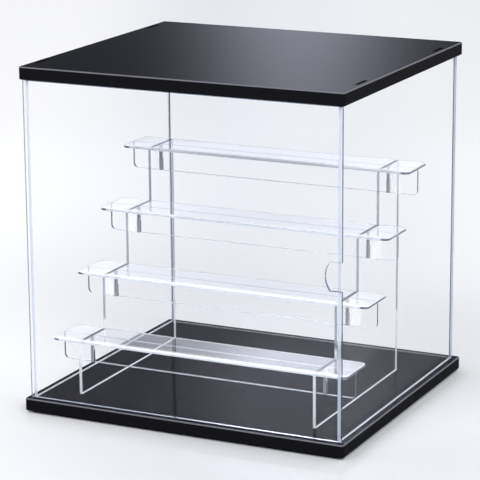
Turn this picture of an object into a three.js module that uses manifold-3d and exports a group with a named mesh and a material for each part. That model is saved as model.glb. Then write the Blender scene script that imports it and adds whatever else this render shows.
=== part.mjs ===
// Tiered display box: a clear case between a black base and a black lid, with a swinging
// front door and a clear four-step riser standing inside.
// Millimetres, +Z up, the front faces -Y. The origin is the middle of the footprint, on the
// surface that the plinth stands on.

import * as THREE from 'three';
import { mergeVertices } from 'three/addons/utils/BufferGeometryUtils.js';
import Module from 'manifold-3d';

// Case: outline of the lid, clear height under it, and the corners and edges shared with the base
const caseWidth = 320;
const caseDepth = 286;
const clearHeight = 301;
const cornerRadius = 3;
const edgeBevel = 1;

// Base: a moulded slab that stands out beyond the lid, on a narrower plinth, with a rim round
// ribs that end level with it
const baseSideLip = 1.5;
const baseEndLip = 3;
const baseSlabThickness = 12;
const plinthHeight = 2;
const plinthInset = 4.5;
const plinthRimWidth = 9.5;

// Lid: a moulded slab, with a rim that the walls carry and ribs inside it
const lidThickness = 12;
const lidRimWidth = 5;

// Moulding walls of the base and the lid
const skinThickness = 3;
const ribThickness = 2;
const largestCell = 28;

// Clear walls: two sides and a back between them, cemented to the base
const wallThickness = 3;
const wallSideInset = 4.5;
const wallRearInset = 3.5;

// Tabs on top of the side walls, which pass through slots of the lid
const tabLength = 22;
const tabSetback = 2;
const tabChamfer = 1;
const tabSlotClearance = 0.3;
const leftTabInset = 35;
const rightTabInset = 51;

// Front door: one sheet in front of the side walls, turning on two spigots at its left edge
const doorThickness = 3;
const doorInset = 2;
const doorOverhang = 2;
const doorSeatGap = 0.4;
const doorEndGap = 0.8;
const spigotReach = 5;
const spigotClearance = 0.3;

// Finger notch in the door's free edge, at half height
const notchHeight = 26;
const notchDepth = 16;
const notchBow = 4.5;

// Riser: two stepped side panels carry four shelves on cross rails
const stepCount = 4;
const stepDepth = 48;
const stepRise = 52;
const riserSetback = 30;
const riserSideThickness = 3;
const shelfOverhang = 30;
const shelfThickness = 3;
const shelfEndClearance = 3;
const shelfRearGap = 0.3;
const shelfCornerRadius = 5;
const railThickness = 3;
const railHeight = 24;
const railCornerRadius = 5;
const lapClearance = 0.2;

// Facets of round forms, and the overrun of every cut
const cornerSegments = 5;
const bevelSegments = 2;
const roundSegments = 20;
const cutOverrun = 1;
const quarterTurn = Math.PI / 2;

// Outline of the base, and heights that the sizes above give
const baseWidth = caseWidth + 2 * baseSideLip;
const baseDepth = caseDepth + 2 * baseEndLip;
const baseTop = plinthHeight + baseSlabThickness;
const lidBottom = baseTop + clearHeight;

// Planes of the walls, the door and the riser
const wallOuterX = caseWidth / 2 - wallSideInset;
const wallInnerX = wallOuterX - wallThickness;
const wallRearY = caseDepth / 2 - wallRearInset;
const leftTabSpread = caseDepth - 2 * leftTabInset;
const rightTabSpread = caseDepth - 2 * rightTabInset;
const doorAxisY = -caseDepth / 2 + doorInset + doorThickness / 2;
const wallFrontY = doorAxisY + doorThickness / 2 + doorSeatGap;
const doorEdgeX = wallOuterX + doorOverhang;
const doorAxisX = -doorEdgeX + doorThickness / 2;
const doorReach = doorEdgeX - doorAxisX;
const riserFrontY = -caseDepth / 2 + riserSetback;
const shelfLength = 2 * (wallInnerX - shelfEndClearance);
const riserSideSpacing = shelfLength - 2 * shelfOverhang;

const wasm = await Module();
wasm.setup();

// Solid of a closed three.js geometry
function solidOf(geometry) {
  const bare = geometry.clone();
  bare.deleteAttribute('normal');
  bare.deleteAttribute('uv');
  const merged = mergeVertices(bare);
  const vertProperties = new Float32Array(merged.attributes.position.array);
  const triVerts = new Uint32Array(merged.index.array);
  return new wasm.Manifold(new wasm.Mesh({ numProp: 3, vertProperties, triVerts }));
}

// three.js geometry of a solid, with flat faces
function geometryOf(solid) {
  const mesh = solid.getMesh();
  const indexed = new THREE.BufferGeometry();
  indexed.setAttribute('position', new THREE.BufferAttribute(mesh.vertProperties, mesh.numProp));
  indexed.setIndex(new THREE.BufferAttribute(mesh.triVerts, 1));
  const flat = indexed.toNonIndexed();
  flat.computeVertexNormals();
  return flat;
}

// Solid block between two corners
function block(low, high) {
  const size = new THREE.Vector3().subVectors(high, low);
  const middle = new THREE.Vector3().addVectors(low, high).multiplyScalar(0.5);
  const geometry = new THREE.BoxGeometry(size.x, size.y, size.z);
  geometry.translate(middle.x, middle.y, middle.z);
  return solidOf(geometry);
}

// Upright round solid from one height to another
function post(x, y, low, high, radius) {
  const geometry = new THREE.CylinderGeometry(radius, radius, high - low, roundSegments);
  geometry.rotateX(quarterTurn);
  geometry.translate(x, y, (low + high) / 2);
  return solidOf(geometry);
}

// Rectangle about the origin with round corners
function roundedRectangle(width, depth, radius) {
  const right = width / 2 - radius;
  const rear = depth / 2 - radius;
  const outline = new THREE.Shape();
  outline.absarc(right, -rear, radius, -quarterTurn, 0);
  outline.absarc(right, rear, radius, 0, quarterTurn);
  outline.absarc(-right, rear, radius, quarterTurn, 2 * quarterTurn);
  outline.absarc(-right, -rear, radius, 2 * quarterTurn, 3 * quarterTurn);
  outline.closePath();
  return outline;
}

// Flat sheet of an outline, standing on the plane of its drawing
function sheet(outline, thickness) {
  return new THREE.ExtrudeGeometry(outline, {
    depth: thickness,
    curveSegments: cornerSegments,
    bevelEnabled: false,
  });
}

// Slab with round corners and eased edges, from a bottom height upwards
function easedSlab(width, depth, bottom, thickness) {
  const geometry = new THREE.ExtrudeGeometry(roundedRectangle(width, depth, cornerRadius), {
    depth: thickness - 2 * edgeBevel,
    curveSegments: cornerSegments,
    bevelEnabled: true,
    bevelThickness: edgeBevel,
    bevelSize: edgeBevel,
    bevelOffset: -edgeBevel,
    bevelSegments,
  });
  geometry.translate(0, 0, bottom + edgeBevel);
  return solidOf(geometry);
}

// Square cells between ribs, which fill a rectangle about the origin from low to high
function ribbedCells(width, depth, low, high) {
  const columns = Math.ceil((width + ribThickness) / (largestCell + ribThickness));
  const rows = Math.ceil((depth + ribThickness) / (largestCell + ribThickness));
  const columnPitch = (width + ribThickness) / columns;
  const rowPitch = (depth + ribThickness) / rows;
  const cells = [];
  for (let column = 0; column < columns; column += 1) {
    for (let row = 0; row < rows; row += 1) {
      const left = -width / 2 + column * columnPitch;
      const front = -depth / 2 + row * rowPitch;
      const cellLow = new THREE.Vector3(left, front, low);
      const cellHigh = new THREE.Vector3(
        left + columnPitch - ribThickness,
        front + rowPitch - ribThickness,
        high,
      );
      cells.push(block(cellLow, cellHigh));
    }
  }
  return wasm.Manifold.union(cells);
}

// Slots for the tabs of both side walls, right through the lid
function tabSlots() {
  const sides = [
    { x: -wallOuterX, spread: leftTabSpread },
    { x: wallInnerX, spread: rightTabSpread },
  ];
  const reach = tabLength / 2 + tabSlotClearance;
  const slots = [];
  for (const { x, spread } of sides) {
    for (const middle of [-spread / 2, spread / 2]) {
      slots.push(block(
        new THREE.Vector3(x - tabSlotClearance, middle - reach, -cutOverrun),
        new THREE.Vector3(
          x + wallThickness + tabSlotClearance,
          middle + reach,
          lidThickness + cutOverrun,
        ),
      ));
    }
  }
  return wasm.Manifold.union(slots);
}

// Round hole for a spigot of the door, from low to high
function spigotHole(low, high) {
  return post(doorAxisX, doorAxisY, low, high, doorThickness / 2 + spigotClearance);
}

// Base: slab and plinth, cells underneath, a spigot hole on top
function makeBase() {
  const plinthWidth = baseWidth - 2 * plinthInset;
  const plinthDepth = baseDepth - 2 * plinthInset;
  const plinth = solidOf(sheet(
    roundedRectangle(plinthWidth, plinthDepth, cornerRadius),
    plinthHeight + edgeBevel,
  ));
  const cells = ribbedCells(
    plinthWidth - 2 * plinthRimWidth,
    plinthDepth - 2 * plinthRimWidth,
    -cutOverrun,
    baseTop - skinThickness,
  );
  const holeFloor = baseTop - spigotReach - spigotClearance;
  const solid = easedSlab(baseWidth, baseDepth, plinthHeight, baseSlabThickness)
    .add(plinth)
    .subtract(cells)
    .subtract(spigotHole(holeFloor, baseTop + cutOverrun));
  return geometryOf(solid);
}

// Lid, drawn from its underside up: cells and a spigot hole underneath, tab slots right through
function makeLid() {
  const cells = ribbedCells(
    2 * (wallInnerX - lidRimWidth),
    2 * (wallRearY - wallThickness - lidRimWidth),
    -cutOverrun,
    lidThickness - skinThickness,
  );
  const solid = easedSlab(caseWidth, caseDepth, 0, lidThickness)
    .subtract(cells)
    .subtract(tabSlots())
    .subtract(spigotHole(-cutOverrun, spigotReach + spigotClearance));
  return geometryOf(solid);
}

// Side wall: x of the drawing runs to the rear, y runs up from the top of the base
function makeSideWall(tabSpread) {
  const tabTop = clearHeight + lidThickness - tabSetback;
  const outline = new THREE.Shape();
  outline.moveTo(wallFrontY, 0);
  outline.lineTo(wallRearY, 0);
  outline.lineTo(wallRearY, clearHeight);
  for (const middle of [tabSpread / 2, -tabSpread / 2]) {
    const rear = middle + tabLength / 2;
    const front = middle - tabLength / 2;
    outline.lineTo(rear, clearHeight);
    outline.lineTo(rear, tabTop - tabChamfer);
    outline.lineTo(rear - tabChamfer, tabTop);
    outline.lineTo(front + tabChamfer, tabTop);
    outline.lineTo(front, tabTop - tabChamfer);
    outline.lineTo(front, clearHeight);
  }
  outline.lineTo(wallFrontY, clearHeight);
  outline.closePath();
  return sheet(outline, wallThickness);
}

// Back wall: a plain sheet between the side walls
function makeBackWall() {
  const outline = new THREE.Shape();
  outline.moveTo(-wallInnerX, 0);
  outline.lineTo(wallInnerX, 0);
  outline.lineTo(wallInnerX, clearHeight);
  outline.lineTo(-wallInnerX, clearHeight);
  outline.closePath();
  return sheet(outline, wallThickness);
}

// Cutter of the finger notch: flat above and below, and bowed on the side of the hinge
function notchCutter(middleHeight) {
  const half = notchHeight / 2;
  const bowRadius = (half * half + notchBow * notchBow) / (2 * notchBow);
  const bowAngle = Math.asin(half / bowRadius);
  const bowCentre = doorReach - notchDepth + bowRadius;
  const outline = new THREE.Shape();
  outline.absarc(bowCentre, 0, bowRadius, Math.PI - bowAngle, Math.PI + bowAngle);
  outline.lineTo(doorReach + cutOverrun, -half);
  outline.lineTo(doorReach + cutOverrun, half);
  outline.closePath();
  const geometry = new THREE.ExtrudeGeometry(outline, {
    depth: doorThickness + 2 * cutOverrun,
    curveSegments: roundSegments,
    bevelEnabled: false,
  });
  geometry.rotateX(quarterTurn);
  geometry.translate(0, doorThickness / 2 + cutOverrun, middleHeight);
  return solidOf(geometry);
}

// Door, drawn about its turning axis from the top of the base: round hinge edge, two spigots, notch
function makeDoor() {
  const half = doorThickness / 2;
  const section = new THREE.Shape();
  section.absarc(0, 0, half, quarterTurn, 3 * quarterTurn);
  section.lineTo(doorReach, -half);
  section.lineTo(doorReach, half);
  section.closePath();
  const leaf = new THREE.ExtrudeGeometry(section, {
    depth: clearHeight - 2 * doorEndGap,
    curveSegments: roundSegments / 2,
    bevelEnabled: false,
  });
  leaf.translate(0, 0, doorEndGap);
  const lowSpigot = post(0, 0, -spigotReach, doorEndGap + half, half);
  const highSpigot = post(0, 0, clearHeight - doorEndGap - half, clearHeight + spigotReach, half);
  const solid = solidOf(leaf).add(lowSpigot).add(highSpigot).subtract(notchCutter(clearHeight / 2));
  return geometryOf(solid);
}

// Height of the tread under a shelf, counted from the front
function treadHeight(step) {
  return (step + 1) * stepRise - shelfThickness;
}

// Middle of a shelf from the riser's front
function stepMiddle(step) {
  return (step + 1 / 2) * stepDepth;
}

// Stepped side panel, with a slot in each tread that laps over a rail
function makeRiserSide() {
  const slotHalf = railThickness / 2 + lapClearance;
  const outline = new THREE.Shape();
  outline.moveTo(0, 0);
  outline.lineTo(stepCount * stepDepth, 0);
  for (let step = stepCount - 1; step >= 0; step -= 1) {
    const tread = treadHeight(step);
    const middle = stepMiddle(step);
    outline.lineTo((step + 1) * stepDepth, tread);
    outline.lineTo(middle + slotHalf, tread);
    outline.lineTo(middle + slotHalf, tread - railHeight / 2);
    outline.lineTo(middle - slotHalf, tread - railHeight / 2);
    outline.lineTo(middle - slotHalf, tread);
    outline.lineTo(step * stepDepth, tread);
  }
  outline.closePath();
  return sheet(outline, riserSideThickness);
}

// Cross rail, drawn down from its top: round lower corners and a lap slot over each side panel
function makeRail() {
  const half = shelfLength / 2;
  const cornerX = half - railCornerRadius;
  const cornerY = railCornerRadius - railHeight;
  const slotHalf = riserSideThickness / 2 + lapClearance;
  const outline = new THREE.Shape();
  outline.absarc(-cornerX, cornerY, railCornerRadius, 2 * quarterTurn, 3 * quarterTurn);
  outline.absarc(cornerX, cornerY, railCornerRadius, 3 * quarterTurn, 4 * quarterTurn);
  outline.lineTo(half, 0);
  outline.lineTo(-half, 0);
  outline.closePath();
  let solid = solidOf(sheet(outline, railThickness));
  for (const middle of [-riserSideSpacing / 2, riserSideSpacing / 2]) {
    solid = solid.subtract(block(
      new THREE.Vector3(middle - slotHalf, -railHeight - cutOverrun, -cutOverrun),
      new THREE.Vector3(middle + slotHalf, -railHeight / 2, railThickness + cutOverrun),
    ));
  }
  return geometryOf(solid);
}

// Shelf: a plain sheet with round corners
function makeShelf() {
  const depth = stepDepth - shelfRearGap;
  return sheet(roundedRectangle(shelfLength, depth, shelfCornerRadius), shelfThickness);
}

// Finishes
const blackMoulding = () => new THREE.MeshStandardMaterial({ color: 0x17181a, roughness: 0.3, metalness: 0 });
const clearAcrylic = () => new THREE.MeshStandardMaterial({
  color: 0xe6ecf5,
  roughness: 0.08,
  metalness: 0,
  transparent: true,
  opacity: 0.35,
});

// Named mesh at a place
function named(name, geometry, material, x, y, z) {
  const mesh = new THREE.Mesh(geometry, material);
  mesh.name = name;
  mesh.position.set(x, y, z);
  return mesh;
}

// Turns a sheet so that its drawing runs to the rear and up, with its thickness to +X
function alongDepth(mesh) {
  mesh.rotation.set(quarterTurn, 0, quarterTurn, 'ZYX');
  return mesh;
}

// Turns a sheet so that its drawing runs to +X and up, with its thickness to -Y
function alongWidth(mesh) {
  mesh.rotation.set(quarterTurn, 0, 0);
  return mesh;
}

// Clear walls and the door, from the top of the base up
function wallGroup() {
  const group = new THREE.Group();
  group.position.z = baseTop;
  const left = named('left_wall', makeSideWall(leftTabSpread), clearAcrylic(), -wallOuterX, 0, 0);
  const right = named('right_wall', makeSideWall(rightTabSpread), clearAcrylic(), wallInnerX, 0, 0);
  const back = named('back_wall', makeBackWall(), clearAcrylic(), 0, wallRearY, 0);
  const door = named('front_door', makeDoor(), clearAcrylic(), doorAxisX, doorAxisY, 0);
  group.add(alongDepth(left), alongDepth(right), alongWidth(back), door);
  return group;
}

// Riser, from its front on the top of the base
function riserGroup() {
  const group = new THREE.Group();
  group.position.set(0, riserFrontY, baseTop);
  const sides = [
    { name: 'riser_side_left', middle: -riserSideSpacing / 2 },
    { name: 'riser_side_right', middle: riserSideSpacing / 2 },
  ];
  for (const { name, middle } of sides) {
    const side = named(name, makeRiserSide(), clearAcrylic(), middle - riserSideThickness / 2, 0, 0);
    group.add(alongDepth(side));
  }
  for (let step = 0; step < stepCount; step += 1) {
    const tread = treadHeight(step);
    const middle = stepMiddle(step);
    const shelfY = middle - shelfRearGap / 2;
    const rail = named(`rail_${step + 1}`, makeRail(), clearAcrylic(), 0, middle + railThickness / 2, tread);
    group.add(named(`shelf_${step + 1}`, makeShelf(), clearAcrylic(), 0, shelfY, tread));
    group.add(alongWidth(rail));
  }
  return group;
}

const displayBox = new THREE.Group();
displayBox.add(named('base', makeBase(), blackMoulding(), 0, 0, 0));
displayBox.add(wallGroup(), riserGroup());
displayBox.add(named('lid', makeLid(), blackMoulding(), 0, 0, lidBottom));

export default displayBox;
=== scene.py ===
"""Tiered display box: clear walls and a clear four-step riser between a black base and lid."""

import logging
import math
from dataclasses import dataclass
from enum import Enum

import bpy
from mathutils import Matrix, Vector


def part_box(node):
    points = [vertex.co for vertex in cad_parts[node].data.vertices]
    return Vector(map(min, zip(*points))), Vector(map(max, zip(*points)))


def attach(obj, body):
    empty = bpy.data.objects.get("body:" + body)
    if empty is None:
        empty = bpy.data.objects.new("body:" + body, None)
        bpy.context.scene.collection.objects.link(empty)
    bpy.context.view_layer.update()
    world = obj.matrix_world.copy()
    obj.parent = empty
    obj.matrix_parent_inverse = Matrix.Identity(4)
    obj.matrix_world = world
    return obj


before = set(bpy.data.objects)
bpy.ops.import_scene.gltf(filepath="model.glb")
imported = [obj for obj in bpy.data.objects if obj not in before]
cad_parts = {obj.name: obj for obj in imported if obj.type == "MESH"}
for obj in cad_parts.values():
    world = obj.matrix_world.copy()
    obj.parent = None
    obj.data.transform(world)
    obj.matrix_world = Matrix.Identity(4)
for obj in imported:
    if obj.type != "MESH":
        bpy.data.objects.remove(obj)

LOG = logging.getLogger("display_box")
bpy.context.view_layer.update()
MM = 0.001
STEPS = 4
RISER_SIDES = ("riser_side_left", "riser_side_right")
# Place past the end of every sheet, for a mark that a sheet does not have
PAST_THE_END = 1.0
# Mesh clean-up: points this close are one, faces under the first angle are one flat face, and
# edges past the second are sharp
WELD_DISTANCE = 0.01 * MM
FLAT_ANGLE = math.radians(0.5)
SHARP_ANGLE = math.radians(40)


class Across(Enum):
    """Axis that a sheet's thickness runs along."""

    WIDTH = "X"
    DEPTH = "Y"
    HEIGHT = "Z"


def linear(hex_colour: str) -> tuple[float, float, float, float]:
    """Turn an sRGB hex value into linear red, green, blue and a full alpha.

    Args:
        hex_colour: colour such as "#9fa6c6".

    Returns:
        The linear colour with alpha 1.
    """
    channels = [int(hex_colour[i:i + 2], 16) / 255 for i in (1, 3, 5)]
    red, green, blue = (
        c / 12.92 if c <= 0.04045 else ((c + 0.055) / 1.055) ** 2.4 for c in channels
    )
    return red, green, blue, 1.0


def add_node(tree: bpy.types.NodeTree, kind: str, settings: dict | None = None,
             inputs: dict | None = None) -> bpy.types.Node:
    """Add a node, give it its settings, and set or link its inputs.

    Args:
        tree: tree that takes the node.
        kind: type name of the node.
        settings: attribute values of the node.
        inputs: a value or an output socket for each input, by name or index.

    Returns:
        The new node.
    """
    node = tree.nodes.new(kind)
    for name, value in (settings or {}).items():
        setattr(node, name, value)
    for name, value in (inputs or {}).items():
        socket = node.inputs[name]
        if isinstance(value, bpy.types.NodeSocket):
            tree.links.new(value, socket)
        else:
            socket.default_value = value
    return node


def empty_material(name: str) -> bpy.types.Material:
    """Make a material with an empty node tree.

    Args:
        name: name of the material.

    Returns:
        The material.
    """
    material = bpy.data.materials.new(name)
    material.use_nodes = True
    material.node_tree.nodes.clear()
    return material


@dataclass(frozen=True)
class MouldedStyrene:
    """Injection-moulded black styrene from a polished tool.

    It looks near black with a soft, weak gloss that strengthens only at a low angle, over the
    faint ripple and pebble that cooling plastic keeps. Its sides, which draw out of the mould,
    reflect less than its flat faces. The sides are painted a little lighter than the flat faces,
    painted shade that follows which way a face turns, and the upward facets of its eased edges
    are painted grey, a painted highlight. A slant is the upward part of a surface's direction: 0
    on a side, 1 on top.
    """

    name: str
    colour: str = "#121215"
    # Painted shade: the sides take a slightly lighter copy of the black than the flat faces
    painted_side_colour: str = "#151518"
    # Painted highlight: grey on the upward facets of the eased edges
    painted_edge_colour: str = "#6e6e75"
    ior: float = 1.075
    rough_low: float = 0.02
    rough_high: float = 0.05
    rough_spread: tuple[float, float] = (0.3, 0.7)
    side_level: float = 0.12
    flat_level: float = 0.5
    level_slant: tuple[float, float] = (0.3, 0.9)
    side_slant: tuple[float, float] = (0.15, 0.35)
    top_slant: tuple[float, float] = (0.95, 0.99)
    ripple_size: float = 9.0 * MM
    ripple_height: float = 0.0006 * MM
    pebble_size: float = 1.2 * MM
    pebble_height: float = 0.0001 * MM

    def build(self) -> bpy.types.Material:
        """Build the material's node tree.

        Returns:
            The material.
        """
        material = empty_material(self.name)
        tree = material.node_tree
        coordinates = add_node(tree, "ShaderNodeTexCoord")
        place = coordinates.outputs["Object"]
        # Plastic sinks into waves about 9 mm long between the ribs behind it
        ripple = add_node(tree, "ShaderNodeTexNoise", {}, {
            "Vector": place, "Scale": 1 / self.ripple_size, "Detail": 1.0, "Roughness": 0.4})
        # Pebble of the tool is about 0.1 mm in the real one, drawn coarser so that it shows
        pebble = add_node(tree, "ShaderNodeTexNoise", {}, {
            "Vector": place, "Scale": 1 / self.pebble_size, "Detail": 2.0, "Roughness": 0.6})
        waves = add_node(tree, "ShaderNodeBump", {}, {
            "Height": ripple.outputs["Fac"], "Strength": 1.0, "Distance": self.ripple_height})
        grain = add_node(tree, "ShaderNodeBump", {}, {
            "Height": pebble.outputs["Fac"], "Strength": 1.0, "Distance": self.pebble_height,
            "Normal": waves.outputs["Normal"]})
        polish = add_node(tree, "ShaderNodeMapRange", {}, {
            "Value": pebble.outputs["Fac"], "From Min": self.rough_spread[0],
            "From Max": self.rough_spread[1], "To Min": self.rough_low,
            "To Max": self.rough_high})
        upright = add_node(tree, "ShaderNodeSeparateXYZ", {}, {
            0: coordinates.outputs["Normal"]}).outputs["Z"]
        level = add_node(tree, "ShaderNodeMapRange", {}, {
            "Value": upright, "From Min": self.level_slant[0],
            "From Max": self.level_slant[1], "To Min": self.side_level,
            "To Max": self.flat_level})
        shader = add_node(tree, "ShaderNodeBsdfPrincipled", {}, {
            "Base Color": self.painted_edge_highlight(tree, upright), "IOR": self.ior,
            "Specular IOR Level": level.outputs["Result"],
            "Roughness": polish.outputs["Result"], "Normal": grain.outputs["Normal"]})
        add_node(tree, "ShaderNodeOutputMaterial", {}, {"Surface": shader.outputs["BSDF"]})
        return material

    def painted_edge_highlight(self, tree: bpy.types.NodeTree,
               upright: bpy.types.NodeSocket) -> bpy.types.NodeSocket:
        """Colour the sides and the flat faces, and paint a grey highlight on the facets that slant
        up between them.

        Args:
            tree: tree that takes the nodes.
            upright: how much the surface faces up.

        Returns:
            The colour's socket.
        """
        # Painted highlight: facets that slant up between a side and the top take the edge colour
        off_side = add_node(tree, "ShaderNodeMapRange", {}, {
            "Value": upright, "From Min": self.side_slant[0],
            "From Max": self.side_slant[1]})
        off_top = add_node(tree, "ShaderNodeMapRange", {}, {
            "Value": upright, "From Min": self.top_slant[0],
            "From Max": self.top_slant[1], "To Min": 1.0, "To Max": 0.0})
        highlit_facets = add_node(tree, "ShaderNodeMath", {"operation": "MULTIPLY"}, {
            0: off_side.outputs["Result"], 1: off_top.outputs["Result"]})
        face = add_node(tree, "ShaderNodeMix", {"data_type": "RGBA"}, {
            0: off_side.outputs["Result"], 6: linear(self.painted_side_colour),
            7: linear(self.colour)})
        colour = add_node(tree, "ShaderNodeMix", {"data_type": "RGBA"}, {
            0: highlit_facets.outputs[0], 6: face.outputs[2], 7: linear(self.painted_edge_colour)})
        return colour.outputs[2]


@dataclass(frozen=True)
class CastAcrylic:
    """Cast clear acrylic sheet, laser cut, with flame-polished edges.

    Faces are clear enough to vanish. Light that crosses a cut edge comes out slate blue and a
    part of it scatters there in that colour, a painted shade for the dark that the sheet shows
    along its length; the eased edges scatter a part of it in white, a painted highlight. The
    edge keeps the fine stripes that the laser leaves. A slant is the part of a surface's
    direction along the thickness, 1 on a face, or for the ends along the case's width.
    """

    name: str
    across: Across
    ior: float = 1.49
    clearness: float = 1.0
    eased_clearness: float = 0.6
    edge_clearness: float = 0.6
    edge_slant: tuple[float, float] = (0.2, 0.6)
    face_slant: tuple[float, float] = (0.9, 0.98)
    end_slant: tuple[float, float] = (0.3, 0.8)
    colour: str = "#ffffff"
    painted_edge_colour: str = "#8a90a5"
    painted_end_colour: str = "#8a90a5"
    depth_colour: str = "#a7aecb"
    depth_density: float = 1.6
    stripe_pitch: float = 1.6 * MM
    stripe_height: float = 0.0012 * MM

    def build(self) -> bpy.types.Material:
        """Build the material's node tree.

        Returns:
            The material.
        """
        material = empty_material(self.name)
        tree = material.node_tree
        coordinates = add_node(tree, "ShaderNodeTexCoord")
        facing = add_node(tree, "ShaderNodeSeparateXYZ", {}, {0: coordinates.outputs["Normal"]})
        flat = add_node(tree, "ShaderNodeMath", {"operation": "ABSOLUTE"}, {
            0: facing.outputs[self.across.value]}).outputs[0]
        edge = add_node(tree, "ShaderNodeMapRange", {}, {
            "Value": flat, "From Min": self.edge_slant[0], "From Max": self.edge_slant[1],
            "To Min": 1.0, "To Max": 0.0}).outputs["Result"]
        # Painted shade: the cut edges take the slate edge and end colours
        colour = add_node(tree, "ShaderNodeMix", {"data_type": "RGBA"}, {
            0: edge, 6: linear(self.colour), 7: self.cut_colour(tree, facing.outputs["X"])})
        # Laser stripes are about 0.3 mm apart in the real one, drawn coarser so that they show
        stripes = add_node(tree, "ShaderNodeTexNoise", {}, {
            "Vector": coordinates.outputs["Object"], "Scale": 1 / self.stripe_pitch,
            "Detail": 1.0, "Roughness": 0.5})
        height = add_node(tree, "ShaderNodeMath", {"operation": "MULTIPLY"}, {
            0: stripes.outputs["Fac"], 1: edge})
        cut = add_node(tree, "ShaderNodeBump", {}, {
            "Height": height.outputs[0], "Strength": 1.0, "Distance": self.stripe_height})
        clear = add_node(tree, "ShaderNodeBsdfPrincipled", {}, {
            "Base Color": colour.outputs[2], "IOR": self.ior, "Roughness": 0.0,
            "Transmission Weight": self.crossing(tree, flat, edge),
            "Normal": cut.outputs["Normal"]})
        through = add_node(tree, "ShaderNodeBsdfTransparent")
        path = add_node(tree, "ShaderNodeLightPath")
        # Light reaches what stands behind the sheet, as it does through the real one
        surface = add_node(tree, "ShaderNodeMixShader", {}, {
            0: path.outputs["Is Shadow Ray"], 1: clear.outputs["BSDF"],
            2: through.outputs["BSDF"]})
        depth = add_node(tree, "ShaderNodeVolumeAbsorption", {}, {
            "Color": linear(self.depth_colour), "Density": self.depth_density})
        add_node(tree, "ShaderNodeOutputMaterial", {}, {
            "Surface": surface.outputs["Shader"], "Volume": depth.outputs["Volume"]})
        return material

    def cut_colour(self, tree: bpy.types.NodeTree,
                   sideways: bpy.types.NodeSocket) -> bpy.types.NodeSocket:
        """Colour the cut edges, which look down the sheet's length at its two ends.

        Args:
            tree: tree that takes the nodes.
            sideways: part of the surface's direction along the case's width.

        Returns:
            The colour's socket.
        """
        aside = add_node(tree, "ShaderNodeMath", {"operation": "ABSOLUTE"}, {0: sideways})
        end = add_node(tree, "ShaderNodeMapRange", {}, {
            "Value": aside.outputs[0], "From Min": self.end_slant[0],
            "From Max": self.end_slant[1]})
        colour = add_node(tree, "ShaderNodeMix", {"data_type": "RGBA"}, {
            0: end.outputs["Result"], 6: linear(self.painted_edge_colour), 7: linear(self.painted_end_colour)})
        return colour.outputs[2]

    def crossing(self, tree: bpy.types.NodeTree, flat: bpy.types.NodeSocket,
                 edge: bpy.types.NodeSocket) -> bpy.types.NodeSocket:
        """Give the share of light that crosses the surface instead of scattering on it.

        Args:
            tree: tree that takes the nodes.
            flat: how much the surface faces along the sheet's thickness.
            edge: 1 on a cut edge, 0 on a face.

        Returns:
            The share's socket.
        """
        # Painted highlight: the eased edges scatter the rest of the light in the white colour
        eased = add_node(tree, "ShaderNodeMapRange", {}, {
            "Value": flat, "From Min": self.face_slant[0], "From Max": self.face_slant[1],
            "To Min": self.eased_clearness, "To Max": self.clearness})
        share = add_node(tree, "ShaderNodeMix", {"data_type": "FLOAT"}, {
            0: edge, 2: eased.outputs["Result"], 3: self.edge_clearness})
        return share.outputs[0]

    def beyond(self, tree: bpy.types.NodeTree, axis: Across, place: float,
               blend: float) -> bpy.types.NodeSocket:
        """Mark the parts of the sheet that lie further from the frame's middle than a place.

        Args:
            tree: tree that takes the nodes.
            axis: axis that the distance runs along.
            place: distance where the mark begins, in metres.
            blend: length over which the mark comes in, in metres.

        Returns:
            The mark's socket, 1 beyond the place.
        """
        along = add_node(tree, "ShaderNodeSeparateXYZ", {}, {
            0: add_node(tree, "ShaderNodeTexCoord").outputs["Object"]}).outputs[axis.value]
        away = add_node(tree, "ShaderNodeMath", {"operation": "ABSOLUTE"}, {0: along}).outputs[0]
        return add_node(tree, "ShaderNodeMapRange", {}, {
            "Value": away, "From Min": place, "From Max": place + blend}).outputs["Result"]


@dataclass(frozen=True)
class StandingPanel(CastAcrylic):
    """Cast acrylic of the riser's side panels, whose cut edge gathers light from the table.

    The edge is painted pale and made to scatter near the foot, a painted highlight for that
    light, and grey slate above the lowest shelf.
    """

    foot: float = 72.0 * MM
    foot_blend: float = 6.0 * MM
    foot_highlight_colour: str = "#dfe3ec"
    foot_clearness: float = 0.25

    def cut_colour(self, tree: bpy.types.NodeTree,
                   sideways: bpy.types.NodeSocket) -> bpy.types.NodeSocket:
        """Colour the cut edge paler at the foot.

        Args:
            tree: tree that takes the nodes.
            sideways: part of the surface's direction along the case's width.

        Returns:
            The colour's socket.
        """
        # Painted highlight: below the lowest shelf the edge takes the pale foot colour
        above = self.beyond(tree, Across.HEIGHT, self.foot, self.foot_blend)
        colour = add_node(tree, "ShaderNodeMix", {"data_type": "RGBA"}, {
            0: above, 6: linear(self.foot_highlight_colour), 7: super().cut_colour(tree, sideways)})
        return colour.outputs[2]

    def crossing(self, tree: bpy.types.NodeTree, flat: bpy.types.NodeSocket,
                 edge: bpy.types.NodeSocket) -> bpy.types.NodeSocket:
        """Give the share of light that crosses the surface, less on the edge at the foot.

        Args:
            tree: tree that takes the nodes.
            flat: how much the surface faces along the sheet's thickness.
            edge: 1 on a cut edge, 0 on a face.

        Returns:
            The share's socket.
        """
        low = add_node(tree, "ShaderNodeMath", {"operation": "SUBTRACT"}, {
            0: 1.0, 1: self.beyond(tree, Across.HEIGHT, self.foot, self.foot_blend)})
        foot = add_node(tree, "ShaderNodeMath", {"operation": "MULTIPLY"}, {
            0: low.outputs[0], 1: edge})
        share = add_node(tree, "ShaderNodeMix", {"data_type": "FLOAT"}, {
            0: foot.outputs[0], 2: super().crossing(tree, flat, edge), 3: self.foot_clearness})
        return share.outputs[0]


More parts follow.
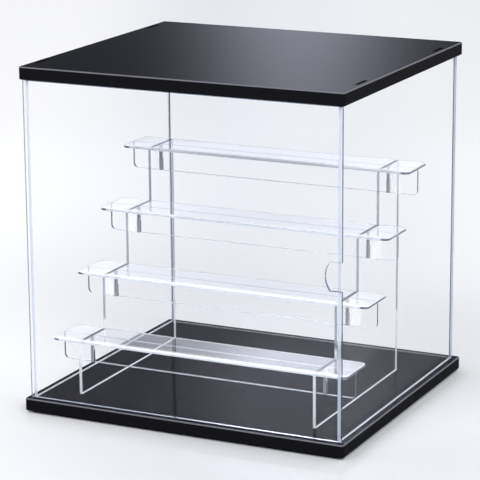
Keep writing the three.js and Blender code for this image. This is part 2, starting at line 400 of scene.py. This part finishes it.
@dataclass(frozen=True)
class PaintedLightSheet(CastAcrylic):
    """Cast acrylic of the shelves and rails, with painted highlights and painted shade.

    A shelf's front lip and ends scatter more light in white than its middle, a painted
    highlight, and its cut edge is painted darkest at its two ends, a painted shade. A rail
    scatters more light in white beside a lap, a painted highlight, and clears again towards its
    end. The places along the width are distances from the middle.
    """

    front: float = 0.0
    pitch: float = 48.0 * MM
    lip: float = 8.0 * MM
    lip_share: float = 0.3
    lip_highlight: float = 0.0
    ends: float = 121.0 * MM
    end_blend: float = 2.0 * MM
    end_highlight: float = 0.06
    end_fade: float = PAST_THE_END
    fade_blend: float = 9.0 * MM
    dark_ends: float = 141.5 * MM
    dark_blend: float = 1.0 * MM

    def cut_colour(self, tree: bpy.types.NodeTree,
                   sideways: bpy.types.NodeSocket) -> bpy.types.NodeSocket:
        """Colour the cut edge, with the painted shade of the ends on the last of the front edge
        too.

        Args:
            tree: tree that takes the nodes.
            sideways: part of the surface's direction along the case's width.

        Returns:
            The colour's socket.
        """
        inner = super().cut_colour(tree, sideways)
        # Painted shade: the last of a shelf's front edge takes the dark end colour
        last = self.beyond(tree, Across.WIDTH, self.dark_ends, self.dark_blend)
        colour = add_node(tree, "ShaderNodeMix", {"data_type": "RGBA"}, {
            0: last, 6: inner, 7: linear(self.painted_end_colour)})
        return colour.outputs[2]

    def crossing(self, tree: bpy.types.NodeTree, flat: bpy.types.NodeSocket,
                 edge: bpy.types.NodeSocket) -> bpy.types.NodeSocket:
        """Give the share of light that crosses the surface, less where a highlight is painted.

        Args:
            tree: tree that takes the nodes.
            flat: how much the surface faces along the sheet's thickness.
            edge: 1 on a cut edge, 0 on a face.

        Returns:
            The share's socket.
        """
        share = super().crossing(tree, flat, edge)
        depth = add_node(tree, "ShaderNodeSeparateXYZ", {}, {
            0: add_node(tree, "ShaderNodeTexCoord").outputs["Object"]}).outputs["Y"]
        steps = add_node(tree, "ShaderNodeMath", {"operation": "SUBTRACT"}, {
            0: depth, 1: self.front}).outputs[0]
        into = add_node(tree, "ShaderNodeMath", {"operation": "WRAP"}, {
            0: steps, 1: self.pitch, 2: 0.0}).outputs[0]
        # Painted highlight: the shelf's front lip scatters light in white
        lip = add_node(tree, "ShaderNodeMapRange", {"interpolation_type": "SMOOTHSTEP"}, {
            "Value": into, "From Min": self.lip * self.lip_share, "From Max": self.lip,
            "To Min": 1.0 - self.lip_highlight, "To Max": 1.0}).outputs["Result"]
        kept = add_node(tree, "ShaderNodeMath", {"operation": "SUBTRACT"}, {
            0: 1.0, 1: self.beyond(tree, Across.WIDTH, self.end_fade, self.fade_blend)})
        highlit_ends = add_node(tree, "ShaderNodeMath", {"operation": "MULTIPLY"}, {
            0: self.beyond(tree, Across.WIDTH, self.ends, self.end_blend),
            1: kept.outputs[0]})
        ends = add_node(tree, "ShaderNodeMapRange", {}, {
            "Value": highlit_ends.outputs[0], "To Min": 1.0, "To Max": 1.0 - self.end_highlight,
        }).outputs["Result"]
        clear = add_node(tree, "ShaderNodeMath", {"operation": "MULTIPLY"}, {0: lip, 1: ends})
        return add_node(tree, "ShaderNodeMath", {"operation": "MULTIPLY"}, {
            0: share, 1: clear.outputs[0]}).outputs[0]


@dataclass(frozen=True)
class CementShade:
    """Solvent cement that has set between two sheets of acrylic.

    Its dark slate colour is painted shade, darkest under a shelf, where light runs down
    through the joint into the panel below.
    """

    name: str
    thin: str
    thick: str
    bead_size: float = 6.0 * MM
    ior: float = 1.49
    roughness: float = 0.4
    level: float = 0.1

    def build(self) -> bpy.types.Material:
        """Build the material's node tree.

        Returns:
            The material.
        """
        material = empty_material(self.name)
        tree = material.node_tree
        # It is laid in beads about 6 mm long, which set a little thicker or thinner
        beads = add_node(tree, "ShaderNodeTexNoise", {}, {
            "Vector": add_node(tree, "ShaderNodeTexCoord").outputs["Object"],
            "Scale": 1 / self.bead_size, "Detail": 1.0})
        colour = add_node(tree, "ShaderNodeMix", {"data_type": "RGBA"}, {
            0: beads.outputs["Fac"], 6: linear(self.thin), 7: linear(self.thick)})
        shader = add_node(tree, "ShaderNodeBsdfPrincipled", {}, {
            "Base Color": colour.outputs[2], "IOR": self.ior, "Roughness": self.roughness,
            "Specular IOR Level": self.level})
        add_node(tree, "ShaderNodeOutputMaterial", {}, {"Surface": shader.outputs["BSDF"]})
        return material


@dataclass(frozen=True)
class SweptTable:
    """Pale satin laminate of the table that the case stands on.

    It looks pale grey and mirrors what stands on it softly. Its colour is painted brighter to
    the left and a little to the right, a painted pool of light. Each stop is a distance in
    metres across the view and the colour there.
    """

    name: str
    stops: tuple[tuple[float, str], ...] = (
        (-0.34, "#f1f1f3"), (0.0, "#dee0e4"), (0.12, "#dfe1e4"), (0.34, "#e8e9eb"))
    turn: float = -26.0
    mirror: float = 0.045
    roughness: float = 0.05
    gloss_spread: float = 0.2
    grain_size: float = 14.0 * MM

    def build(self) -> bpy.types.Material:
        """Build the material's node tree.

        Returns:
            The material.
        """
        material = empty_material(self.name)
        tree = material.node_tree
        place = add_node(tree, "ShaderNodeTexCoord").outputs["Object"]
        turned = add_node(tree, "ShaderNodeMapping", {}, {
            "Vector": place, "Rotation": (0.0, 0.0, math.radians(self.turn))})
        along = add_node(tree, "ShaderNodeSeparateXYZ", {}, {0: turned.outputs["Vector"]})
        # Painted light: the colour is brightest at the left, darker in the middle and a little
        # lighter at the right
        first, last = self.stops[0][0], self.stops[-1][0]
        painted_light = add_node(tree, "ShaderNodeValToRGB", {}, {
            0: add_node(tree, "ShaderNodeMapRange", {}, {
                "Value": along.outputs["X"], "From Min": first,
                "From Max": last}).outputs["Result"]})
        ramp = painted_light.color_ramp
        ramp.interpolation = "EASE"
        ramp.elements.remove(ramp.elements[1])
        for index, (metres, colour) in enumerate(self.stops):
            part = (metres - first) / (last - first)
            element = ramp.elements[0] if index == 0 else ramp.elements.new(part)
            element.color = linear(colour)
        # Satin laminate clouds in patches about 14 mm across
        grain = add_node(tree, "ShaderNodeTexNoise", {}, {
            "Vector": place, "Scale": 1 / self.grain_size, "Detail": 2.0})
        gloss = add_node(tree, "ShaderNodeMapRange", {}, {
            "Value": grain.outputs["Fac"],
            "To Min": self.roughness * (1 - self.gloss_spread),
            "To Max": self.roughness * (1 + self.gloss_spread)})
        matt = add_node(tree, "ShaderNodeBsdfDiffuse", {}, {"Color": painted_light.outputs["Color"]})
        sheen = add_node(tree, "ShaderNodeBsdfGlossy", {}, {
            "Color": linear("#ffffff"), "Roughness": gloss.outputs["Result"]})
        surface = add_node(tree, "ShaderNodeMixShader", {}, {
            0: self.mirror, 1: matt.outputs["BSDF"], 2: sheen.outputs["BSDF"]})
        add_node(tree, "ShaderNodeOutputMaterial", {}, {"Surface": surface.outputs["Shader"]})
        return material


def round_off(piece: bpy.types.Object, edge: float, gap: float, segments: int) -> None:
    """Join a CAD node's loose triangles, ease its sharp edges, and draw its faces in.

    Args:
        piece: CAD node, which keeps its mesh.
        edge: width of the eased edge, in metres.
        gap: how far the faces draw in, in metres, for the air that stays in a dry joint.
        segments: count of facets that make up the eased edge.
    """
    weld = piece.modifiers.new("joined", "WELD")
    weld.merge_threshold = WELD_DISTANCE
    merge = piece.modifiers.new("flat_faces", "DECIMATE")
    merge.decimate_type = "DISSOLVE"
    merge.angle_limit = FLAT_ANGLE
    bevel = piece.modifiers.new("eased_edges", "BEVEL")
    bevel.limit_method = "ANGLE"
    bevel.angle_limit = SHARP_ANGLE
    bevel.width = edge
    bevel.segments = segments
    shrink = piece.modifiers.new("air_gap", "DISPLACE")
    shrink.strength = -gap
    shrink.mid_level = 0.0


def dress(piece: bpy.types.Object, material: bpy.types.Material) -> None:
    """Give a CAD node its material, in every slot that it has."""
    for slot in piece.material_slots:
        slot.material = material


def finish_sheets(names: tuple[str, ...], acrylic: CastAcrylic, edge: float, gap: float,
                  segments: int = 2) -> list[bpy.types.Object]:
    """Dress the sheets that share one acrylic, and ease their edges.

    Args:
        names: CAD nodes of the sheets.
        acrylic: finish of the sheets.
        edge: width of the eased edge, in metres.
        gap: how far the faces draw in, in metres.
        segments: count of facets that make up the eased edge.

    Returns:
        The sheets.
    """
    material = acrylic.build()
    pieces = [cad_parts[name] for name in names]
    for piece in pieces:
        dress(piece, material)
        round_off(piece, edge, gap, segments)
    return pieces


@dataclass
class Mouldings:
    """Black base and lid, which keep the CAD's bevelled edges as they are."""

    base: str = "base"
    lid: str = "lid"

    def make(self) -> list[bpy.types.Object]:
        """Dress the base and the lid.

        Returns:
            The two pieces.
        """
        finish = MouldedStyrene("black_moulded_styrene").build()
        pieces = [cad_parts[name] for name in (self.base, self.lid)]
        for piece in pieces:
            dress(piece, finish)
        return pieces


@dataclass
class ClearCase:
    """Clear side walls, back wall and swinging front door.

    Their IOR is below that of acrylic, because the real faces show almost no reflection.
    """

    sides: tuple[str, ...] = ("left_wall", "right_wall")
    door: str = "front_door"
    back: str = "back_wall"
    side_round: float = 0.5 * MM
    front_round: float = 0.25 * MM
    gap: float = 0.02 * MM
    side_ior: float = 1.05
    front_ior: float = 1.06
    # Edge colours are painted light and shade: pale on the side walls, slate on the door, dark on
    # the back
    side_edge: str = "#c6cddb"
    door_edge: str = "#5d6b88"
    back_edge: str = "#3c424e"
    side_clearness: float = 0.35
    door_clearness: float = 0.7
    back_clearness: float = 0.15
    edge_slant: tuple[float, float] = (0.5, 0.9)

    def make(self) -> list[bpy.types.Object]:
        """Dress the four clear sheets.

        Returns:
            The side walls, the door and the back wall.
        """
        side = CastAcrylic(
            "cast_acrylic_side", Across.WIDTH, ior=self.side_ior, edge_slant=self.edge_slant,
            painted_edge_colour=self.side_edge, painted_end_colour=self.side_edge,
            edge_clearness=self.side_clearness, eased_clearness=self.side_clearness)
        door = CastAcrylic(
            "cast_acrylic_door", Across.DEPTH, ior=self.front_ior, edge_slant=self.edge_slant,
            painted_edge_colour=self.door_edge, painted_end_colour=self.door_edge,
            edge_clearness=self.door_clearness, eased_clearness=self.door_clearness)
        # The back wall's cut edges are painted dark and mostly scatter, a painted shade
        back = CastAcrylic(
            "cast_acrylic_back", Across.DEPTH, ior=self.front_ior, edge_slant=self.edge_slant,
            painted_edge_colour=self.back_edge, painted_end_colour=self.back_edge,
            edge_clearness=self.back_clearness, eased_clearness=self.back_clearness)
        return [
            *finish_sheets(self.sides, side, self.side_round, self.gap),
            *finish_sheets((self.door,), door, self.front_round, self.gap),
            *finish_sheets((self.back,), back, self.front_round, self.gap),
        ]


@dataclass
class Riser:
    """Four-step riser: two stepped side panels, four cross rails and four shelves."""

    steps: int = STEPS
    sides: tuple[str, ...] = RISER_SIDES
    edge: float = 0.4 * MM
    shelf_round: float = 0.9 * MM
    shelf_facets: int = 4
    gap: float = 0.02 * MM
    upright_ior: float = 1.06
    # Edge and end colours are painted light and shade: slate on the cut edges, dark at the rail
    # and shelf ends, pale on the shelf edges
    side_edge: str = "#858d9d"
    rail_edge: str = "#b9c1d0"
    rail_end: str = "#3a4253"
    shelf_edge: str = "#d9e0ec"
    shelf_end: str = "#4c566c"
    edge_clearness: float = 0.72
    rail_clearness: float = 0.55
    rail_slant: tuple[float, float] = (0.5, 0.95)
    rail_highlight: float = 0.28
    shelf_clearness: float = 0.97
    shelf_edge_clearness: float = 0.7
    # The shelves' eased edges scatter most light in white, a painted highlight
    shelf_eased_clearness: float = 0.2
    shelf_lip_highlight: float = 0.4
    bracket: float = 122.0 * MM
    bracket_fade: float = 126.0 * MM

    def rail(self, place: str, highlight: float) -> PaintedLightSheet:
        """Describe the acrylic of a rail, with a painted highlight outside the side panels that it
        crosses.

        Args:
            place: where in the riser the rail is, for the material's name.
            highlight: strength of the painted highlight.

        Returns:
            The finish.
        """
        return PaintedLightSheet(
            f"cast_acrylic_rail_{place}", Across.DEPTH, ior=self.upright_ior,
            painted_edge_colour=self.rail_edge, painted_end_colour=self.rail_end,
            edge_clearness=self.rail_clearness, eased_clearness=self.rail_clearness,
            edge_slant=self.rail_slant, ends=self.bracket, end_highlight=highlight,
            end_fade=self.bracket_fade, dark_ends=PAST_THE_END)

    def make(self) -> list[bpy.types.Object]:
        """Dress the riser's sheets.

        Returns:
            The side panels, the rails and the shelves.
        """
        panel = StandingPanel(
            "cast_acrylic_riser_side", Across.WIDTH, ior=self.upright_ior,
            painted_edge_colour=self.side_edge, painted_end_colour=self.side_edge,
            edge_clearness=self.edge_clearness, eased_clearness=self.edge_clearness)
        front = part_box("shelf_1")[0][1]
        shelf = PaintedLightSheet(
            "cast_acrylic_shelf", Across.HEIGHT, clearness=self.shelf_clearness,
            painted_edge_colour=self.shelf_edge, painted_end_colour=self.shelf_end,
            edge_clearness=self.shelf_edge_clearness,
            eased_clearness=self.shelf_eased_clearness, lip_highlight=self.shelf_lip_highlight,
            front=front, pitch=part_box("shelf_2")[0][1] - front)
        rail_names = tuple(f"rail_{step}" for step in range(1, self.steps + 1))
        shelf_names = tuple(f"shelf_{step}" for step in range(1, self.steps + 1))
        # The upper rails get a painted highlight beside their laps, and the lowest one has none
        return [
            *finish_sheets(self.sides, panel, self.edge, self.gap),
            *finish_sheets(rail_names[:1], self.rail("low", 0.0), self.edge, self.gap),
            *finish_sheets(rail_names[1:], self.rail("high", self.rail_highlight), self.edge, self.gap),
            *finish_sheets(shelf_names, shelf, self.shelf_round, self.gap, self.shelf_facets),
        ]


@dataclass(frozen=True)
class SeamRun:
    """Row of equal cement seams: name, slot, middle of the first, step, count and strip size."""

    name: str
    slot: str
    first: tuple[float, float, float]
    step: tuple[float, float, float]
    count: int
    strip: tuple[float, float, float]


@dataclass
class CementShadeSeams:
    """Cement seams of painted shade under the shelves, in the rails' laps and rear corners."""

    steps: int = STEPS
    sides: tuple[str, ...] = RISER_SIDES
    bite: float = 0.2 * MM
    lap_gap: float = 0.2 * MM
    inset: float = 0.1 * MM
    run_out: float = 0.1 * MM
    tread_end: float = 1.0 * MM
    # Painted shade: the seams' dark colours stand for shade in the joints, darkest under the
    # shelves
    tread_shade_colours: tuple[str, str] = ("#0d1015", "#181c24")
    lap_shade_colours: tuple[str, str] = ("#8b909a", "#9ca1ab")
    corner_shade_colours: tuple[str, str] = ("#5f687c", "#798194")

    def tree(self) -> bpy.types.NodeTree:
        """Build the tree that repeats one strip along a line.

        Returns:
            The node tree, with named inputs for the count, the step and the strip.
        """
        tree = bpy.data.node_groups.new("cement_shade_seams", "GeometryNodeTree")
        face = tree.interface
        face.new_socket("Geometry", in_out="INPUT", socket_type="NodeSocketGeometry")
        face.new_socket("Geometry", in_out="OUTPUT", socket_type="NodeSocketGeometry")
        face.new_socket("Count", in_out="INPUT", socket_type="NodeSocketInt")
        for name in ("First", "Step", "Strip"):
            face.new_socket(name, in_out="INPUT", socket_type="NodeSocketVector")
        face.new_socket("Finish", in_out="INPUT", socket_type="NodeSocketMaterial")
        given = tree.nodes.new("NodeGroupInput").outputs
        row = add_node(tree, "GeometryNodeMeshLine", {"mode": "OFFSET"}, {
            "Count": given["Count"], "Start Location": given["First"],
            "Offset": given["Step"]})
        strip = add_node(tree, "GeometryNodeMeshCube", {}, {"Size": given["Strip"]})
        placed = add_node(tree, "GeometryNodeInstanceOnPoints", {}, {
            "Points": row.outputs["Mesh"], "Instance": strip.outputs["Mesh"]})
        real = add_node(tree, "GeometryNodeRealizeInstances", {}, {
            0: placed.outputs["Instances"]})
        finished = add_node(tree, "GeometryNodeSetMaterial", {}, {
            "Geometry": real.outputs[0], "Material": given["Finish"]})
        add_node(tree, "NodeGroupOutput", {}, {0: finished.outputs["Geometry"]})
        return tree

    def riser_runs(self, side: str) -> list[SeamRun]:
        """List the seams on one side panel of the riser.

        Args:
            side: CAD node of the side panel.

        Returns:
            The seams under the shelves, and those down the front of the laps.
        """
        low, high = (Vector(corner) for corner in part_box(side))
        shelf = Vector(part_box("shelf_1")[0])
        rise = Vector(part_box("shelf_2")[0]).z - shelf.z
        rail_low, rail_high = (Vector(corner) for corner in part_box("rail_1"))
        run = (high.y - low.y) / self.steps
        step = (0.0, run, rise)
        middle, thick = (low.x + high.x) / 2, high.x - low.x
        rail_middle, rail_thick = (rail_low.y + rail_high.y) / 2, rail_high.y - rail_low.y
        fill = self.lap_gap + self.bite
        before = rail_middle - (rail_thick + self.lap_gap) / 2
        end = side.removeprefix("riser_side_")
        # Cement runs out a little to both sides of the panel
        wide = thick + 2 * self.run_out
        return [
            SeamRun(f"tread_shade_seams_{end}", "clear_riser", (middle, low.y + run / 2, shelf.z), step,
                    self.steps, (wide, run - 2 * self.tread_end, self.bite)),
            SeamRun(f"lap_shade_seams_{end}", "clear_riser",
                    (middle, before, (rail_low.z + rail_high.z) / 2), step,
                    self.steps, (wide, fill, rail_high.z - rail_low.z - self.bite)),
        ]

    def corner_run(self) -> SeamRun:
        """Describe the upright seams where the back wall meets the side walls.

        Returns:
            The two seams.
        """
        low, high = (Vector(corner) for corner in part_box("back_wall"))
        return SeamRun(
            "corner_shade_seams", "clear_wall", (low.x, (low.y + high.y) / 2, (low.z + high.z) / 2),
            (high.x - low.x, 0.0, 0.0), 2,
            (self.bite, high.y - low.y - self.inset, high.z - low.z - self.inset))

    def lay(self, run: SeamRun, tree: bpy.types.NodeTree,
            finish: bpy.types.Material) -> bpy.types.Object:
        """Make one row of seams as a plain mesh.

        Args:
            run: row that is made.
            tree: tree that repeats the strip.
            finish: material of the strips.

        Returns:
            The piece that holds the row.
        """
        values = {"Count": run.count, "First": run.first, "Step": run.step,
                  "Strip": run.strip, "Finish": finish}
        holder = bpy.data.objects.new("seams", bpy.data.meshes.new("seams"))
        bpy.context.scene.collection.objects.link(holder)
        repeat = holder.modifiers.new("seams", "NODES")
        repeat.node_group = tree
        for socket in tree.interface.items_tree:
            if socket.name in values:
                repeat[socket.identifier] = values[socket.name]
        shape = holder.evaluated_get(bpy.context.evaluated_depsgraph_get())
        mesh = bpy.data.meshes.new_from_object(shape)
        bpy.data.objects.remove(holder)
        seams = bpy.data.objects.new(run.name, mesh)
        bpy.context.scene.collection.objects.link(seams)
        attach(seams, "case")
        return seams

    def make(self) -> list[bpy.types.Object]:
        """Make every row of seams.

        Returns:
            The pieces, one for each row.
        """
        tree = self.tree()
        tread = CementShade("solvent_cement_tread_shade", *self.tread_shade_colours).build()
        lap = CementShade("solvent_cement_lap_shade", *self.lap_shade_colours).build()
        corner = CementShade("solvent_cement_corner_shade", *self.corner_shade_colours).build()
        made = []
        for side in self.sides:
            for run, finish in zip(self.riser_runs(side), (tread, lap)):
                made.append(self.lay(run, tree, finish))
        made.append(self.lay(self.corner_run(), tree, corner))
        return made


@dataclass
class Studio:
    """Pale table, a soft light overhead, and a pale backdrop with a lit panel above it.

    Angles are in degrees. A pane and the flank hold the angles above the horizon where they
    begin, are full, fade and end, and their level. A stop holds an angle above the horizon, the
    level there and how blue it is. A lamp holds its name, its place in metres and its watts.
    """

    table_radius: float = 12.0
    table_sides: int = 96
    panel_azimuth: float = -24.2
    panel_width: float = 2.3
    panes: tuple[tuple[float, ...], ...] = (
        (4.0, 8.0, 11.3, 12.3, 1.0), (15.8, 17.8, 20.0, 40.0, 1.5))
    flank_azimuth: float = -25.2
    flank_width: float = 2.6
    flank: tuple[float, ...] = (11.6, 12.3, 16.4, 17.4, 0.14)
    stops: tuple[tuple[float, ...], ...] = (
        (0.0, 0.85, 0.0), (3.0, 0.80, 0.5), (6.0, 0.10, 1.0), (11.3, 0.09, 1.0),
        (12.1, 0.82, 1.0), (13.0, 0.82, 1.0), (13.7, 0.66, 1.0), (15.9, 0.62, 1.0),
        (16.7, 0.38, 1.0), (18.0, 0.50, 1.0), (20.0, 0.62, 0.5), (25.0, 1.45, 0.0),
        (48.0, 1.45, 0.0), (56.0, 0.35, 0.0), (90.0, 0.35, 0.0))
    zenith: float = 90.0
    sky: float = 1.15
    red_loss: float = 0.05
    blue_gain: float = 0.17
    lamps_hung: tuple[tuple[str, tuple[float, float, float], float], ...] = (
        ("key", (-1.2, -1.7, 2.6), 14.0), ("fill", (1.6, -1.6, 2.0), 15.0))
    lamp_width: float = 1.2

    def table(self) -> bpy.types.Object:
        """Build the round table top.

        Returns:
            The table.
        """
        mesh = bpy.data.meshes.new("table")
        turns = [2 * math.pi * side / self.table_sides for side in range(self.table_sides)]
        ring = [(self.table_radius * math.cos(turn), self.table_radius * math.sin(turn), 0.0)
                for turn in turns]
        mesh.from_pydata(ring, [], [list(range(self.table_sides))])
        mesh.materials.append(SweptTable("satin_laminate_table").build())
        table = bpy.data.objects.new("table", mesh)
        bpy.context.scene.collection.objects.link(table)
        return table

    def tint(self, level: float, blue: float) -> tuple[float, float, float, float]:
        """Give a level as a colour, bluer than grey by the share that is asked."""
        return level * (1 - self.red_loss * blue), level, level * (1 + self.blue_gain * blue), 1.0

    def surroundings(self) -> None:
        """Build the world: pale near the horizon, a dim band above it, and bright overhead."""
        world = bpy.data.worlds.new("studio")
        world.use_nodes = True
        bpy.context.scene.world = world
        tree = world.node_tree
        tree.nodes.clear()
        way = add_node(tree, "ShaderNodeSeparateXYZ", {}, {
            0: add_node(tree, "ShaderNodeTexCoord").outputs["Generated"]})
        rise = add_node(tree, "ShaderNodeMath", {"operation": "ARCSINE"}, {
            0: way.outputs["Z"]}).outputs[0]
        around = add_node(tree, "ShaderNodeMath", {"operation": "ARCTAN2"}, {
            0: way.outputs["X"], 1: way.outputs["Y"]}).outputs[0]
        band = add_node(tree, "ShaderNodeValToRGB", {}, {
            0: add_node(tree, "ShaderNodeMapRange", {}, {
                "Value": rise, "From Min": 0.0, "From Max": math.pi / 2}).outputs["Result"]})
        ramp = band.color_ramp
        ramp.elements.remove(ramp.elements[1])
        for index, (degrees, level, blue) in enumerate(self.stops):
            part = degrees / self.zenith
            element = ramp.elements[0] if index == 0 else ramp.elements.new(part)
            element.color = self.tint(level, blue)
        glow = self.glow(tree, around, self.panel_azimuth, self.panel_width)
        panes = [self.window(tree, rise, pane) for pane in self.panes]
        both = add_node(tree, "ShaderNodeMath", {"operation": "ADD"}, {0: panes[0], 1: panes[1]})
        panel = add_node(tree, "ShaderNodeMath", {"operation": "MULTIPLY"}, {
            0: glow, 1: both.outputs[0]})
        aside = add_node(tree, "ShaderNodeMath", {"operation": "SUBTRACT"}, {
            0: 1.0, 1: self.glow(tree, around, self.flank_azimuth, self.flank_width)})
        flanks = add_node(tree, "ShaderNodeMath", {"operation": "MULTIPLY"}, {
            0: aside.outputs[0], 1: self.window(tree, rise, self.flank)})
        light = add_node(tree, "ShaderNodeMath", {"operation": "ADD"}, {
            0: panel.outputs[0], 1: flanks.outputs[0]})
        lit = add_node(tree, "ShaderNodeMix", {
            "data_type": "RGBA", "blend_type": "ADD", "clamp_result": False}, {
            0: light.outputs[0], 6: band.outputs["Color"], 7: self.tint(1.0, 1.0)})
        sky = add_node(tree, "ShaderNodeBackground", {}, {
            "Color": lit.outputs[2], "Strength": self.sky})
        add_node(tree, "ShaderNodeOutputWorld", {}, {"Surface": sky.outputs["Background"]})

    def glow(self, tree: bpy.types.NodeTree, around: bpy.types.NodeSocket,
             azimuth: float, width: float) -> bpy.types.NodeSocket:
        """Give a level that falls off to both sides of a compass direction.

        Args:
            tree: tree of the world.
            around: compass angle of a direction.
            azimuth: compass angle of the middle, in degrees.
            width: angle at which the level has fallen to about a third, in degrees.

        Returns:
            The level's socket, 1 at the middle.
        """
        aside = add_node(tree, "ShaderNodeMath", {"operation": "SUBTRACT"}, {
            0: around, 1: math.radians(azimuth)}).outputs[0]
        scaled = add_node(tree, "ShaderNodeMath", {"operation": "DIVIDE"}, {
            0: aside, 1: math.radians(width)}).outputs[0]
        squared = add_node(tree, "ShaderNodeMath", {"operation": "MULTIPLY"}, {
            0: scaled, 1: scaled}).outputs[0]
        falling = add_node(tree, "ShaderNodeMath", {"operation": "MULTIPLY"}, {
            0: squared, 1: -1.0}).outputs[0]
        return add_node(tree, "ShaderNodeMath", {"operation": "EXPONENT"}, {
            0: falling}).outputs[0]

    def window(self, tree: bpy.types.NodeTree, rise: bpy.types.NodeSocket,
               pane: tuple[float, ...]) -> bpy.types.NodeSocket:
        """Give a lit pane's level up its height.

        Args:
            tree: tree of the world.
            rise: angle of a direction above the horizon.
            pane: degrees where it begins, is full, fades and ends, and its level.

        Returns:
            The level's socket.
        """
        begins, full, fades, ends, level = pane
        up = add_node(tree, "ShaderNodeMapRange", {"interpolation_type": "SMOOTHSTEP"}, {
            "Value": rise, "From Min": math.radians(begins),
            "From Max": math.radians(full), "To Max": level})
        down = add_node(tree, "ShaderNodeMapRange", {"interpolation_type": "SMOOTHSTEP"}, {
            "Value": rise, "From Min": math.radians(ends),
            "From Max": math.radians(fades)})
        return add_node(tree, "ShaderNodeMath", {"operation": "MULTIPLY"}, {
            0: up.outputs["Result"], 1: down.outputs["Result"]}).outputs[0]

    def lamps(self) -> list[bpy.types.Object]:
        """Hang the soft key light at the left and the fill light at the right.

        Returns:
            The lamps.
        """
        made = []
        for name, place, watts in self.lamps_hung:
            light = bpy.data.lights.new(name, "AREA")
            light.shape = "DISK"
            light.size = self.lamp_width
            light.energy = watts
            lamp = bpy.data.objects.new(name, light)
            bpy.context.scene.collection.objects.link(lamp)
            lamp.location = place
            lamp.rotation_euler = (-Vector(place)).to_track_quat("-Z", "Y").to_euler()
            lamp.visible_camera = False
            made.append(lamp)
        return made


@dataclass
class PhotoCamera:
    """Camera at the photograph's viewing angle, with its angles in degrees."""

    place: tuple[float, float, float] = (0.919726, -1.920842, 0.693153)
    yaw: float = -25.7712
    pitch: float = 14.3279
    roll: float = -0.3834
    focal_pixels: float = 2327.25
    image_width: int = 480
    sensor: float = 36.0
    far_limit: float = 100.0

    def make(self) -> bpy.types.Object:
        """Build the camera and make it the scene's.

        Returns:
            The camera.
        """
        data = bpy.data.cameras.new("photo_camera")
        data.sensor_width = self.sensor
        data.lens = self.focal_pixels / self.image_width * self.sensor
        data.clip_end = self.far_limit
        camera = bpy.data.objects.new("photo_camera", data)
        bpy.context.scene.collection.objects.link(camera)
        yaw, pitch, roll = (math.radians(a) for a in (self.yaw, self.pitch, self.roll))
        ahead = Vector((
            math.sin(yaw) * math.cos(pitch), math.cos(yaw) * math.cos(pitch), -math.sin(pitch)))
        level = Vector((math.cos(yaw), -math.sin(yaw), 0.0))
        upright = level.cross(ahead)
        right = level * math.cos(roll) + upright * math.sin(roll)
        up = upright * math.cos(roll) - level * math.sin(roll)
        turn = Matrix((right, up, -ahead)).transposed()
        camera.matrix_world = Matrix.Translation(self.place) @ turn.to_4x4()
        bpy.context.scene.camera = camera
        return camera


def deepen_light_paths(turns: int = 128, crossings: int = 96, shadows: int = 64) -> None:
    """Let light cross every clear sheet that stands in line.

    Args:
        turns: most bounces of a path, and of its mirror kind.
        crossings: most surfaces that a path crosses.
        shadows: most surfaces that a shadow ray crosses.
    """
    cycles = bpy.context.scene.cycles
    cycles.max_bounces = turns
    cycles.transmission_bounces = crossings
    cycles.glossy_bounces = turns
    cycles.transparent_max_bounces = shadows


def main() -> None:
    """Build the case, its riser and the studio in order, and report each piece."""
    logging.basicConfig(level=logging.INFO, format="%(name)s: %(message)s")
    camera = PhotoCamera().make()
    LOG.info("camera %s", camera.name)
    for assembly in (Mouldings(), ClearCase(), Riser(), CementShadeSeams()):
        for piece in assembly.make():
            LOG.info("%s: %s", type(assembly).__name__, piece.name)
    studio = Studio()
    LOG.info("stage %s", studio.table().name)
    for lamp in studio.lamps():
        LOG.info("light %s", lamp.name)
    studio.surroundings()
    bpy.context.scene.view_settings.view_transform = "Standard"
    deepen_light_paths()


if __name__ == "__main__":
    main()
